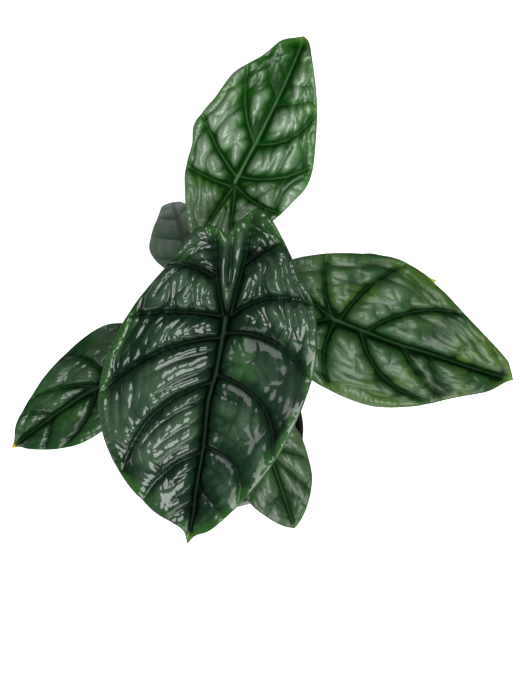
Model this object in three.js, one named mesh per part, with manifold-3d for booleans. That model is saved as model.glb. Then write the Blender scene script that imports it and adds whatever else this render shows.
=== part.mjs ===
// A potted alocasia: seven quilted, arrow-shaped leaves on upright stalks, in a black plastic nursery pot.
// Millimetres, +Z up. The origin is the middle of the pot's underside, and -Y is the front.
import * as THREE from "three";
import { mergeVertices } from "three/addons/utils/BufferGeometryUtils.js";
import Module from "manifold-3d";

const wasm = await Module();
wasm.setup();

const GAP = 0.3; // clearance between two pieces that touch
const UP = new THREE.Vector3(0, 0, 1);

// The pot: a tapered tub with a lip, standing on an outer foot ring and a middle pad.
const POT_HEIGHT = 100;
const POT_RIM_RADIUS = 60;
const POT_BASE_RADIUS = 45;
const POT_WALL = 1.6;
const LIP_HEIGHT = 11;
const LIP_STEP = 1.8; // how far the lip stands out from the wall below it
const LIP_CHAMFER = 1;
const LIP_DRAFT = 0.4; // how much narrower the lip is at its lower edge
const LIP_TOP_STEP = 0.8; // how far the top edge stands in from the lip's face
const LIP_INNER_DROP = 0.6; // how far the top edge slopes down inwards
const FLOOR_TOP = 4.4; // inner face of the pot's floor
const FOOT_HEIGHT = 2.4; // how far the floor is raised between the foot ring and the pad
const FOOT_RING_INNER_RADIUS = 39;
const PAD_RADIUS = 13;
const FOOT_SLOPE = 1; // run of the sloping sides of the ring and the pad
const BASE_CHAMFER = 1; // run of the slanted corner at the pot's foot
const BASE_CHAMFER_HEIGHT = 1.5;
const DRAIN_COUNT = 6;
const DRAIN_RADIUS = 4;
const DRAIN_CIRCLE_RADIUS = 26;
const POT_SIDES = 56;
const DRAIN_SIDES = 16;

// The potting mix, a little heaped around the plant.
const SOIL_EDGE_HEIGHT = 86;
const SOIL_TOP_HEIGHT = 91;
const SOIL_SLOPE = [[44, 87.6], [30, 89.6], [16, 90.8]]; // radius and height, from the edge to the top
const SOIL_SIDES = 40;

// The short upright stem that all the leaves grow from, a little behind the pot's middle.
const STEM_X = 0;
const STEM_Y = 8;
const STEM_FOOT_HEIGHT = 58;
const STEM_TOP_HEIGHT = 106;
const STEM_RADIUS = 10.5;
// Each point is a share of the stem's height, and the stem's radius there as a share of STEM_RADIUS.
const STEM_PROFILE = [[0.02, 0.55], [0.2, 1], [0.45, 1.12], [0.72, 1], [0.9, 0.78], [0.98, 0.4]];
const STEM_SIDES = 24;

// The leaves.
const BLADE_THICKNESS = 1.8; // at the stalk, thinning to nothing at the margin
const BLADE_MARGIN_STEPS = 44;
const BLADE_LAYERS = 8;
const STALK_SIDES = 8;
const STALK_STEPS = 12;
const STALK_TIP_SHARE = 0.62; // stalk radius at the blade, as a share of its radius at the stem
const STALK_LEAN = 0.3; // outward lean of a stalk as it leaves the stem, to each unit of rise
const STALK_RISE_SHARE = 0.45; // share of a stalk's reach over which it keeps that lean
const STALK_ARRIVAL_SHARE = 0.25; // share over which it turns square to its blade
const STALK_CLEARANCE = 0.8; // from the stalk's end to the blade's underside
const VALLEY_SHARE = 0.3; // half-width over which the midrib's valley rises
const CURL_POWER = 2.5;

// Each margin runs from the drip tip, round one side and its basal lobe, to the notch between the lobes.
// A blade's own frame has the stalk at its origin, +Y along the midrib and +Z out of the upper face.
// `at` is the stalk's top, `heading` is the midrib's compass direction from +X, `pitch` is how far the tip
// hangs and `roll` how far the right side does, in degrees. The drops, valley and curl bend the blade.
const LEAVES = [
  {
    name: "top",
    at: [2, 33, 305],
    heading: -100.8,
    pitch: 20,
    roll: 0,
    tipDrop: 12,
    lobeDrop: 6,
    valley: 6,
    curl: 10,
    stalkRadius: 4,
    base: { angle: 80, out: 2, height: 103 },
    right: [
      [0, 165], [6, 153], [30, 141], [60, 115], [78, 76], [77, 38], [65, 3], [45, -32], [32, -57],
      [18, -62], [9, -57],
    ],
    left: [
      [0, 165], [-5, 157], [-17, 148], [-39, 117], [-54, 86], [-64, 50], [-67, 14], [-59, -20],
      [-38, -50], [-20, -73], [-8, -79], [2, -68], [9, -57],
    ],
  },
  {
    name: "back",
    at: [8, 141, 285],
    heading: 64.2,
    pitch: -18,
    roll: 0,
    tipDrop: 10,
    lobeDrop: 5,
    valley: 5,
    curl: 8,
    stalkRadius: 3.4,
    base: { angle: 84, out: 9, height: 96 },
    right: [
      [0, 116], [6, 113], [14, 103], [29, 79], [42, 49], [49, 22], [45, 4], [37, -15], [27, -34],
      [16, -51], [7, -44],
    ],
    left: [
      [0, 116], [-4, 113], [-12, 106], [-21, 89], [-33, 71], [-38, 49], [-44, 27], [-39, 11],
      [-36, -7], [-28, -23], [-20, -39], [-8, -53], [2, -54], [7, -44],
    ],
  },
  {
    name: "right",
    at: [78, 45, 262],
    heading: -17.7,
    pitch: 8,
    roll: 20,
    tipDrop: 12,
    lobeDrop: 5,
    valley: 5,
    curl: 8,
    stalkRadius: 3.4,
    base: { angle: -12, out: 9, height: 95 },
    right: [
      [0, 141], [3, 136], [13, 124], [25, 103], [40, 78], [50, 49], [50, 20], [45, -6], [35, -33],
      [19, -53], [8, -52], [-2, -36],
    ],
    left: [
      [0, 141], [-8, 135], [-15, 127], [-32, 94], [-47, 64], [-56, 33], [-52, 7], [-44, -18],
      [-32, -41], [-16, -55], [-6, -48], [-2, -36],
    ],
  },
  {
    name: "left",
    at: [-88, 6, 222],
    heading: -149.2,
    pitch: 14,
    roll: -8,
    tipDrop: 10,
    lobeDrop: 4,
    valley: 4,
    curl: 7,
    stalkRadius: 3,
    base: { angle: 184, out: 9, height: 94 },
    right: [
      [0, 88], [4, 81], [14, 69], [25, 46], [34, 19], [38, -8], [35, -28], [22, -46], [9, -50],
      [2, -34],
    ],
    left: [
      [0, 88], [-3, 81], [-10, 73], [-20, 57], [-27, 38], [-28, 16], [-26, -8], [-20, -32],
      [-9, -46], [-2, -44], [2, -34],
    ],
  },
  {
    name: "front",
    at: [31, -35, 190],
    heading: -69.5,
    pitch: 22,
    roll: 0,
    tipDrop: 8,
    lobeDrop: 4,
    valley: 4,
    curl: 6,
    stalkRadius: 2.6,
    base: { angle: -68, out: 9, height: 93 },
    right: [
      [0, 66.5], [8, 60], [18, 48], [26, 34], [30, 14], [27, -8], [18, -26], [8, -32], [1, -22],
    ],
    left: [
      [0, 66.5], [-5, 62], [-15, 50], [-24, 34], [-27, 12], [-25, -8], [-16, -26], [-6, -31],
      [1, -22],
    ],
  },
  {
    name: "back_left",
    at: [-26, 106, 205],
    heading: 106.8,
    pitch: 22,
    roll: -5,
    tipDrop: 24,
    lobeDrop: 4,
    valley: 3,
    curl: 6,
    stalkRadius: 2.6,
    base: { angle: 134, out: 9, height: 93 },
    right: [
      [0, 84], [5, 77], [12, 60], [21, 36], [26, 12], [22, -10], [12, -26], [4, -26], [0, -18],
    ],
    left: [
      [0, 84], [-8, 78], [-14, 62], [-22, 47], [-28, 31], [-26, 15], [-20, -2], [-12, -20],
      [-5, -24], [0, -18],
    ],
  },
  {
    name: "right_lower",
    at: [94, 81, 215],
    heading: 11.4,
    pitch: 10,
    roll: 0,
    tipDrop: 6,
    lobeDrop: 3,
    valley: 3,
    curl: 5,
    stalkRadius: 2.6,
    base: { angle: 36, out: 9, height: 94 },
    right: [
      [0, 70], [5, 62], [17, 44], [25, 24], [26, 4], [21, -16], [12, -30], [5, -30], [0, -20],
    ],
    left: [
      [0, 70], [-2, 63], [-13, 46], [-25, 24], [-26, 4], [-21, -16], [-12, -30], [-5, -30],
      [0, -20],
    ],
  },
];

// Papery sheaths of old leaves, wrapped round the stem's foot.
const SHEATHS = [
  { name: "outer", facing: 232, reach: 75, inner: 17, top: 112 },
  { name: "inner", facing: 20, reach: 62, inner: 16, top: 104 },
];
const SHEATH_FOOT_HEIGHT = 84;
const SHEATH_LEAN = 3; // how far the sheath's point leans out
const SHEATH_NARROWING = 0.85;
const SHEATH_THICKNESS = 1.1;
const SHEATH_STEPS = 6;
const SHEATH_SIDES = 10;

const blackPlastic = new THREE.MeshStandardMaterial({ color: 0x232325, roughness: 0.55, metalness: 0 });
const pottingMix = new THREE.MeshStandardMaterial({ color: 0x2a1a12, roughness: 0.95, metalness: 0 });
const stemSkin = new THREE.MeshStandardMaterial({ color: 0x6d6a45, roughness: 0.7, metalness: 0 });
const stalkSkin = new THREE.MeshStandardMaterial({ color: 0x6f7d4a, roughness: 0.45, metalness: 0 });
const leafSkin = new THREE.MeshStandardMaterial({ color: 0x1d3d22, roughness: 0.3, metalness: 0 });
const dryLeaf = new THREE.MeshStandardMaterial({ color: 0x8a6a43, roughness: 0.85, metalness: 0 });

const radians = THREE.MathUtils.degToRad;

// A closed geometry as a solid for cutting, and the way back.
function solidOf(geometry) {
  const bare = geometry.clone();
  bare.deleteAttribute("normal");
  bare.deleteAttribute("uv");
  const merged = mergeVertices(bare, 1e-3);
  const vertProperties = merged.attributes.position.array;
  const triVerts = new Uint32Array(merged.index.array);
  return new wasm.Manifold(new wasm.Mesh({ numProp: 3, vertProperties, triVerts }));
}

function geometryOf(solid) {
  const { vertProperties, triVerts } = solid.getMesh();
  return new THREE.BufferGeometry()
    .setAttribute("position", new THREE.BufferAttribute(vertProperties, 3))
    .setIndex(new THREE.BufferAttribute(triVerts, 1));
}

// A solid of revolution about +Z from [radius, height] points that run from the axis back to the axis.
function turned(profile, segments) {
  const points = profile.map(([radius, height]) => new THREE.Vector2(radius, height));
  return new THREE.LatheGeometry(points, segments).rotateX(Math.PI / 2);
}

function named(name, geometry, material) {
  const mesh = new THREE.Mesh(geometry, material);
  mesh.name = name;
  return mesh;
}

// Outer radius of the pot's wall at a height, below the lip.
function wallRadius(height) {
  const topRadius = POT_RIM_RADIUS - LIP_STEP;
  return POT_BASE_RADIUS + (topRadius - POT_BASE_RADIUS) * (height / POT_HEIGHT);
}

function makePot() {
  const lipBottom = POT_HEIGHT - LIP_HEIGHT;
  const body = solidOf(
    turned(
      [
        [0, 0],
        [PAD_RADIUS, 0],
        [PAD_RADIUS + FOOT_SLOPE, FOOT_HEIGHT],
        [FOOT_RING_INNER_RADIUS - FOOT_SLOPE, FOOT_HEIGHT],
        [FOOT_RING_INNER_RADIUS, 0],
        [POT_BASE_RADIUS - BASE_CHAMFER, 0],
        [wallRadius(BASE_CHAMFER_HEIGHT), BASE_CHAMFER_HEIGHT],
        [wallRadius(lipBottom), lipBottom],
        [POT_RIM_RADIUS - LIP_DRAFT, lipBottom + LIP_CHAMFER],
        [POT_RIM_RADIUS, POT_HEIGHT - LIP_CHAMFER],
        [POT_RIM_RADIUS - LIP_TOP_STEP, POT_HEIGHT],
        [wallRadius(POT_HEIGHT) - POT_WALL, POT_HEIGHT - LIP_INNER_DROP],
        [wallRadius(FLOOR_TOP) - POT_WALL, FLOOR_TOP],
        [0, FLOOR_TOP],
      ],
      POT_SIDES,
    ),
  );
  const drills = Array.from({ length: DRAIN_COUNT }, (_, i) => {
    const angle = (i / DRAIN_COUNT) * 2 * Math.PI;
    const drill = new THREE.CylinderGeometry(DRAIN_RADIUS, DRAIN_RADIUS, 3 * FLOOR_TOP, DRAIN_SIDES);
    const [x, y] = [DRAIN_CIRCLE_RADIUS * Math.cos(angle), DRAIN_CIRCLE_RADIUS * Math.sin(angle)];
    return solidOf(drill.rotateX(Math.PI / 2).translate(x, y, FLOOR_TOP / 2));
  });
  return named("pot", geometryOf(drills.reduce((pot, drill) => pot.subtract(drill), body)), blackPlastic);
}

// The stem's outline, grown by a margin so that it can also cut its own socket.
function stemGeometry(grow) {
  const height = STEM_TOP_HEIGHT - STEM_FOOT_HEIGHT;
  const profile = [[0, STEM_FOOT_HEIGHT - grow]];
  for (const [share, width] of STEM_PROFILE) {
    profile.push([STEM_RADIUS * width + grow, STEM_FOOT_HEIGHT + height * share]);
  }
  profile.push([0, STEM_TOP_HEIGHT + grow]);
  return turned(profile, STEM_SIDES).translate(STEM_X, STEM_Y, 0);
}

// The potting mix before the stem's socket is cut. A raise lets it also trim what stands on it.
function heapGeometry(raise) {
  const innerRadius = (height) => wallRadius(height) - POT_WALL - GAP;
  const floor = FLOOR_TOP + GAP;
  const profile = [
    [0, floor],
    [innerRadius(floor), floor],
    [innerRadius(SOIL_EDGE_HEIGHT), SOIL_EDGE_HEIGHT],
    ...SOIL_SLOPE,
    [0, SOIL_TOP_HEIGHT],
  ];
  return turned(profile, SOIL_SIDES).translate(0, 0, raise);
}

function makeSoil() {
  const mix = solidOf(heapGeometry(0)).subtract(solidOf(stemGeometry(GAP)));
  return named("potting_mix", geometryOf(mix), pottingMix);
}

// A smooth line through the points of one margin, ends included.
function marginPoint(points, share) {
  const place = Math.min(share * (points.length - 1), points.length - 1 - 1e-9);
  const i = Math.floor(place);
  const t = place - i;
  const at = (k) => points[THREE.MathUtils.clamp(k, 0, points.length - 1)];
  const blend = (axis) => {
    const [a, b, c, d] = [at(i - 1)[axis], at(i)[axis], at(i + 1)[axis], at(i + 2)[axis]];
    return b + 0.5 * t * (c - a + t * (2 * a - 5 * b + 4 * c - d + t * (3 * (b - c) + d - a)));
  };
  return [blend(0), blend(1)];
}

// How far the blade's middle surface stands above its own plane.
function bladeHeight(leaf, x, y) {
  const length = leaf.right[0][1];
  const width = Math.max(...leaf.right.map(([side]) => side));
  const back = -Math.min(...leaf.left.map(([, along]) => along));
  const side = Math.abs(x) / width;
  const along = y > 0 ? y / length : y / back;
  const drop = (y > 0 ? leaf.tipDrop : leaf.lobeDrop) * along * along;
  return leaf.valley * (1 - Math.exp(-side / VALLEY_SHARE)) - leaf.curl * side ** CURL_POWER - drop;
}

// The blade is a ball flattened onto the leaf's outline: its equator becomes the margin.
function bladeGeometry(leaf) {
  const ball = new THREE.SphereGeometry(1, BLADE_MARGIN_STEPS, BLADE_LAYERS);
  const { position, uv } = ball.attributes;
  for (let i = 0; i < position.count; i++) {
    const around = uv.getX(i) % 1;
    const polar = (1 - uv.getY(i)) * Math.PI;
    const side = around < 0.5 ? leaf.left : leaf.right;
    const edge = marginPoint(side, around < 0.5 ? 2 * around : 2 - 2 * around);
    const [x, y] = edge.map((part) => part * Math.sin(polar));
    position.setXYZ(i, x, y, bladeHeight(leaf, x, y) + (BLADE_THICKNESS / 2) * Math.cos(polar));
  }
  return ball;
}

// A cylinder bent along a curve and tapered towards the blade.
function stalkGeometry(curve, radius) {
  const rod = new THREE.CylinderGeometry(STALK_TIP_SHARE, 1, 1, STALK_SIDES, STALK_STEPS);
  const frames = curve.computeFrenetFrames(STALK_STEPS);
  const { position } = rod.attributes;
  for (let i = 0; i < position.count; i++) {
    const share = position.getY(i) + 0.5;
    const step = Math.round(share * STALK_STEPS);
    const point = curve.getPointAt(share);
    point.addScaledVector(frames.binormals[step], position.getX(i) * radius);
    point.addScaledVector(frames.normals[step], position.getZ(i) * radius);
    position.setXYZ(i, point.x, point.y, point.z);
  }
  return rod;
}

function stalkCurve(leaf, turn) {
  const normal = UP.clone().applyEuler(turn);
  const top = new THREE.Vector3(...leaf.at).addScaledVector(normal, -(BLADE_THICKNESS / 2 + STALK_CLEARANCE));
  const angle = radians(leaf.base.angle);
  const outward = new THREE.Vector3(Math.cos(angle), Math.sin(angle), 0);
  const axis = new THREE.Vector3(STEM_X, STEM_Y, leaf.base.height);
  const foot = axis.addScaledVector(outward, leaf.base.out);
  const reach = top.distanceTo(foot);
  const rise = UP.clone().addScaledVector(outward, STALK_LEAN).normalize();
  return new THREE.CubicBezierCurve3(
    foot,
    foot.clone().addScaledVector(rise, reach * STALK_RISE_SHARE),
    top.clone().addScaledVector(normal, -reach * STALK_ARRIVAL_SHARE),
    top,
  );
}

function makeLeaf(leaf) {
  const turn = new THREE.Euler(radians(-leaf.pitch), radians(leaf.roll), radians(leaf.heading - 90), "ZXY");
  const blade = named("blade_" + leaf.name, bladeGeometry(leaf), leafSkin);
  blade.position.set(...leaf.at);
  blade.rotation.copy(turn);
  const socket = solidOf(stemGeometry(GAP));
  const stalk = solidOf(stalkGeometry(stalkCurve(leaf, turn), leaf.stalkRadius)).subtract(socket);
  return [blade, named("petiole_" + leaf.name, geometryOf(stalk), stalkSkin)];
}

// A crescent wall that stands on the mix round the stem, and narrows to a point as it rises.
function makeSheath(sheath) {
  const half = radians(sheath.reach);
  const outline = new THREE.Shape();
  outline.absarc(0, 0, sheath.inner + SHEATH_THICKNESS, -half, half, false);
  outline.absarc(0, 0, sheath.inner, half, -half, true);
  const depth = sheath.top - SHEATH_FOOT_HEIGHT;
  const wall = new THREE.ExtrudeGeometry(outline, {
    depth,
    steps: SHEATH_STEPS,
    bevelEnabled: false,
    curveSegments: SHEATH_SIDES,
  });
  const { position } = wall.attributes;
  for (let i = 0; i < position.count; i++) {
    const share = position.getZ(i) / depth;
    const radius = Math.hypot(position.getX(i), position.getY(i)) + SHEATH_LEAN * share * share;
    const spread = Math.atan2(position.getY(i), position.getX(i)) * (1 - SHEATH_NARROWING * share * share);
    const angle = spread + radians(sheath.facing);
    position.setXY(i, STEM_X + radius * Math.cos(angle), STEM_Y + radius * Math.sin(angle));
  }
  wall.translate(0, 0, SHEATH_FOOT_HEIGHT);
  const trimmed = solidOf(wall).subtract(solidOf(heapGeometry(GAP)));
  return named("sheath_" + sheath.name, geometryOf(trimmed), dryLeaf);
}

const plant = new THREE.Group();
plant.add(makePot());
plant.add(makeSoil());
plant.add(named("stem", stemGeometry(0), stemSkin));
for (const leaf of LEAVES) plant.add(...makeLeaf(leaf));
for (const sheath of SHEATHS) plant.add(makeSheath(sheath));

export default plant;
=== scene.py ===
# Looks of the potted alocasia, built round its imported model. Metres, +Z up; leaf shapes are in millimetres.
import math

import bmesh
import bpy
import numpy as np
from mathutils import Euler, Matrix, Vector, noise


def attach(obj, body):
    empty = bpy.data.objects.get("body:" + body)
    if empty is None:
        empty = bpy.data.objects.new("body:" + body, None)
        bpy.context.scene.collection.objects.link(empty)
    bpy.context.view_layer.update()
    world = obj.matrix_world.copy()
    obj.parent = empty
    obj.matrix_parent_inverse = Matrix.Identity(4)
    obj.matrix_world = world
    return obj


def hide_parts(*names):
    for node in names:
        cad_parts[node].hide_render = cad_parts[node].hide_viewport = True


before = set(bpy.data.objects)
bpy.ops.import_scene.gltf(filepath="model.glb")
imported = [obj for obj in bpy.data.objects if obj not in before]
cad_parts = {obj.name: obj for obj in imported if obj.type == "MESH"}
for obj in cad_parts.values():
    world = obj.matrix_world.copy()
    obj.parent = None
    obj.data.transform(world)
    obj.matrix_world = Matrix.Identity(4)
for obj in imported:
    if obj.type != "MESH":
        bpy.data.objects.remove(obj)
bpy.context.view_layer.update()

MM = 0.001
UP = Vector((0, 0, 1))

# The plant's plan, as the solid model has it. Each margin runs from the drip tip, round one side and its
# basal lobe, to the notch. A main vein is (start x, start y, place on the margin counted in margin points,
# sag towards the leaf's base). right_gaps and left_gaps, or gaps where both halves are alike, say how strong
# the (folds, rungs, cells) are between a main vein and the next one back. relief and fold are how high the
# quilting and its folds rise, dome_reach and fold_reach how broadly. fading weakens the main veins towards
# the point, left_calm flattens and dulls the left half, rung is the spacing of the veinlets, drip the share
# of the length that the drip tip's colour takes. base is where the stalk leaves the stem: its direction, its
# distance from the stem's middle and its height.
USUAL = {"roll": 0, "drip": 0.09, "fading": 1.0, "left_calm": 0, "rung": 8.0}
LEAVES = {
    "top": {
        "at": (2, 33, 305), "heading": -100.8, "pitch": 20,
        "tip_drop": 12, "lobe_drop": 6, "valley": 6, "curl": 10,
        "stalk_radius": 4, "base": (80, 2, 103),
        "right": [(0, 165), (6, 153), (30, 141), (60, 115), (78, 76), (77, 38), (65, 3), (45, -32),
                  (32, -57), (18, -62), (9, -57)],
        "left": [(0, 165), (-5, 157), (-17, 148), (-39, 117), (-54, 86), (-64, 50), (-67, 14), (-59, -20),
                 (-38, -50), (-20, -73), (-8, -79), (2, -68), (9, -57)],
        "right_veins": [(0, 134, 1.5, 0.1), (0, 96, 2.2, 0.2), (2, 46, 2.8, 0.28), (2, 14, 4.2, 0.19),
                        (4, -1, 5.8, 0.09), (14, -27, 7.0, 0.14), (2, -2, 9.05, -0.07)],
        "left_veins": [(0, 121, 2.3, 0.1), (0, 92, 2.7, 0.5), (0, 40, 3.8, 0.43), (-2, 10, 5.5, 0.33),
                       (-4, -3, 7.05, 0.29), (-5, -38, 8.4, 0.08), (-3, -4, 10.2, -0.03)],
        "right_gaps": [(1, 0.12, 0), (1, 0.1, 0), (0.9, 0.14, 0), (0.5, 0.5, 0), (0.15, 1, 0), (0, 1, 0)],
        "left_gaps": [(0.3, 0.3, 0.2), (0.3, 0.3, 0.25), (0.3, 0.3, 0.3), (0.6, 0.5, 0), (0.3, 1, 0),
                      (0, 1, 0)],
        "midrib": [(0, 0), (0, 36), (2, 60), (0, 92), (0, 123), (-1, 140), (0, 165)],
        "relief": 6.5, "fold": 3.4, "dome_reach": 6.5, "fold_reach": 2.8,
        "fading": 0.75, "left_calm": 0.35, "rung": 5.5,
    },
    "back": {
        "at": (8, 141, 285), "heading": 64.2, "pitch": -18,
        "tip_drop": 10, "lobe_drop": 5, "valley": 5, "curl": 8,
        "stalk_radius": 3.4, "base": (84, 9, 96),
        "right": [(0, 116), (6, 113), (14, 103), (29, 79), (42, 49), (49, 22), (45, 4), (37, -15),
                  (27, -34), (16, -51), (7, -44)],
        "left": [(0, 116), (-4, 113), (-12, 106), (-21, 89), (-33, 71), (-38, 49), (-44, 27), (-39, 11),
                 (-36, -7), (-28, -23), (-20, -39), (-8, -53), (2, -54), (7, -44)],
        "right_veins": [(3, 94, 2.0, 0.1), (4, 77, 2.7, 0.02), (3, 62, 3.05, 0.1), (3, 31, 3.3, 0.35),
                        (2, 5, 4.56, 0.2), (2, -2, 6.6, 0.16), (2, -4, 8.8, 0)],
        "left_veins": [(2, 85, 2.25, 0.13), (2, 68, 2.65, 0.15), (2, 30, 3.45, 0.16), (-1, 4, 5.6, 0.08),
                       (-2, -4, 7.8, 0.08), (0, -5, 11.2, -0.05)],
        "right_gaps": [(0.1, 0.9, 0), (0.1, 0.9, 0), (0.2, 0.8, 0), (0.1, 0.9, 0), (0, 1, 0), (0, 1, 0)],
        "left_gaps": [(0.1, 0.9, 0), (0.2, 0.8, 0), (0.1, 0.9, 0), (0, 1, 0), (0, 1, 0)],
        "midrib": [(0, 0), (2, 30), (3, 62), (3, 80), (2, 104), (0, 116)],
        "relief": 7.0, "fold": 3.2, "dome_reach": 8.0, "fold_reach": 5.0,
        "fading": 1.3, "rung": 10.0,
    },
    "right": {
        "at": (78, 45, 262), "heading": -17.7, "pitch": 8, "roll": 20,
        "tip_drop": 12, "lobe_drop": 5, "valley": 5, "curl": 8,
        "stalk_radius": 3.4, "base": (-12, 9, 95),
        "right": [(0, 141), (3, 136), (13, 124), (25, 103), (40, 78), (50, 49), (50, 20), (45, -6),
                  (35, -33), (19, -53), (8, -52), (-2, -36)],
        "left": [(0, 141), (-8, 135), (-15, 127), (-32, 94), (-47, 64), (-56, 33), (-52, 7), (-44, -18),
                 (-32, -41), (-16, -55), (-6, -48), (-2, -36)],
        "right_veins": [(1, 104, 1.9, 0.2), (1, 75, 2.67, 0.4), (1, 52, 3.28, 0.12), (1, 21, 3.65, 0.31),
                        (2, 2, 6.17, 0.26), (1, -3, 8.4, 0.02)],
        "left_veins": [(-1, 92, 2.5, 0.27), (0, 26, 3.2, 0.22), (-1, 5, 4.87, 0.17), (-1, 0, 7.1, 0.17),
                       (-1, -3, 8.8, -0.02)],
        "right_gaps": [(0.1, 0.8, 0), (0.1, 0.5, 0.2), (0.1, 0.5, 0.2), (0.1, 0.6, 0.2), (0, 0.8, 0)],
        "left_gaps": [(0.1, 0.6, 0.2), (0.1, 0.5, 0.3), (0, 0.8, 0.2), (0, 0.8, 0)],
        "midrib": [(0, 0), (1, 21), (2, 48), (1, 75), (1, 107), (0, 141)],
        "relief": 7.0, "fold": 2.4, "dome_reach": 5.5, "fold_reach": 6.0,
        "fading": 1.3, "rung": 13.0,
    },
    "left": {
        "at": (-88, 6, 222), "heading": -149.2, "pitch": 14, "roll": -8,
        "tip_drop": 10, "lobe_drop": 4, "valley": 4, "curl": 7,
        "stalk_radius": 3, "base": (184, 9, 94),
        "right": [(0, 88), (4, 81), (14, 69), (25, 46), (34, 19), (38, -8), (35, -28), (22, -46), (9, -50),
                  (2, -34)],
        "left": [(0, 88), (-3, 81), (-10, 73), (-20, 57), (-27, 38), (-28, 16), (-26, -8), (-20, -32),
                 (-9, -46), (-2, -44), (2, -34)],
        "right_veins": [(2, 46, 2.2, 0.16), (2, 5, 2.72, 0.14), (1, -3, 4.2, 0.35), (1, -4, 6.6, 0.05)],
        "left_veins": [(2, 48, 2.5, 0.15), (1, 6, 3.2, 0.2), (0, -3, 5.3, 0.25), (0, -4, 7.4, 0.05)],
        "gaps": [(0.2, 0.4, 0.2), (0.2, 0.4, 0), (0, 0.5, 0)],
        "midrib": [(0, 0), (2, 12), (2, 40), (1, 65), (0, 88)],
        "relief": 4.5, "fold": 2.4, "dome_reach": 5.5, "fold_reach": 4.0, "fading": 0.9,
    },
    "front": {
        "at": (31, -35, 190), "heading": -69.5, "pitch": 22,
        "tip_drop": 8, "lobe_drop": 4, "valley": 4, "curl": 6,
        "stalk_radius": 2.6, "base": (-68, 9, 93),
        "right": [(0, 66.5), (8, 60), (18, 48), (26, 34), (30, 14), (27, -8), (18, -26), (8, -32),
                  (1, -22)],
        "left": [(0, 66.5), (-5, 62), (-15, 50), (-24, 34), (-27, 12), (-25, -8), (-16, -26), (-6, -31),
                 (1, -22)],
        "right_veins": [(0, 36, 2.1, 0.12), (0, 10, 3.1, 0.12), (0, -1, 4.4, 0.2), (0, -3, 6.3, 0.05)],
        "left_veins": [(0, 36, 1.9, 0.12), (0, 6, 2.6, 0.02), (0, -1, 3.7, 0.15), (0, -3, 6.2, 0.05)],
        "gaps": [(0.1, 0.4, 0), (0.1, 0.4, 0), (0, 0.4, 0)],
        "midrib": [(0, 0), (0, 30), (0, 66.5)],
        "relief": 4.0, "fold": 1.8, "dome_reach": 5.0, "fold_reach": 4.0,
    },
    "back_left": {
        "at": (-26, 106, 205), "heading": 106.8, "pitch": 22, "roll": -5,
        "tip_drop": 24, "lobe_drop": 4, "valley": 3, "curl": 6,
        "stalk_radius": 2.6, "base": (134, 9, 93),
        "right": [(0, 84), (5, 77), (12, 60), (21, 36), (26, 12), (22, -10), (12, -26), (4, -26), (0, -18)],
        "left": [(0, 84), (-8, 78), (-14, 62), (-22, 47), (-28, 31), (-26, 15), (-20, -2), (-12, -20),
                 (-5, -24), (0, -18)],
        "right_veins": [(0, 52, 1.9, 0.1), (0, 24, 2.8, 0.12), (0, 0, 3.9, 0.15), (0, -3, 5.6, 0.05)],
        "left_veins": [(0, 50, 2.2, 0.12), (0, 22, 3.3, 0.12), (0, 0, 4.8, 0.15), (0, -3, 6.7, 0.05)],
        "gaps": [(0.1, 0.3, 0), (0.1, 0.3, 0), (0, 0.3, 0)],
        "midrib": [(0, 0), (0, 40), (0, 84)],
        "relief": 2.0, "fold": 0.9, "dome_reach": 6.0, "fold_reach": 4.0, "rung": 9.0,
    },
    "right_lower": {
        "at": (94, 81, 215), "heading": 11.4, "pitch": 10,
        "tip_drop": 6, "lobe_drop": 3, "valley": 3, "curl": 5,
        "stalk_radius": 2.6, "base": (36, 9, 94),
        "right": [(0, 70), (5, 62), (17, 44), (25, 24), (26, 4), (21, -16), (12, -30), (5, -30), (0, -20)],
        "left": [(0, 70), (-2, 63), (-13, 46), (-25, 24), (-26, 4), (-21, -16), (-12, -30), (-5, -30),
                 (0, -20)],
        "right_veins": [(0, 40, 1.9, 0.1), (0, 16, 2.8, 0.12), (0, 0, 3.9, 0.15), (0, -3, 5.8, 0.05)],
        "left_veins": [(0, 38, 2.0, 0.1), (0, 14, 2.9, 0.12), (0, 0, 4.0, 0.15), (0, -3, 5.8, 0.05)],
        "gaps": [(0.1, 0.4, 0), (0.1, 0.4, 0), (0, 0.4, 0)],
        "midrib": [(0, 0), (0, 35), (0, 70)],
        "relief": 3.5, "fold": 1.6, "dome_reach": 6.0, "fold_reach": 4.0, "drip": 0.25,
    },
}
LEAVES = {name: {**USUAL, **leaf} for name, leaf in LEAVES.items()}
VALLEY_SHARE = 0.3  # share of the half-width over which a blade rises from its midrib
CURL_POWER = 2.5
BLADE_THICKNESS = 1.8  # of the solid blade at its stalk
STALK_CLEARANCE = 0.8  # of the solid stalk under the blade

GRID_POINTS = 84000  # in a blade, at most
FINEST_CELL = 0.45
BLADE_TISSUE = 0.7  # thickness between veins
RIM_ROUNDING = 0.7
VEIN_REACH = 0.965  # share of the way to the margin that a main vein goes
MIDRIB_RADIUS = 2.3
SIDE_VEIN_RADIUS = 0.6
FOLD_SPACING = 12.0
COMB_SPACING = 5.0
CELL_SPACING = 13.0
FLAT_POINT = 0.16  # share of a blade's length, back from its point, over which the quilting grows
TROUGH_REACH = 8.0  # half-width of the painted shade along the midrib's trough, at the stalk
HUB_REACH = 9.0  # radius of the painted shade over the stalk
INWARD_REACH = 12.0  # how far from the margin the distance to it is kept
LOBE_FOLDS = 1.4  # how much deeper the folds grow from the stalk to the ends of the lobes


# Node trees. Sums and products of Values add Math nodes; every other node comes from Nodes.node.


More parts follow.
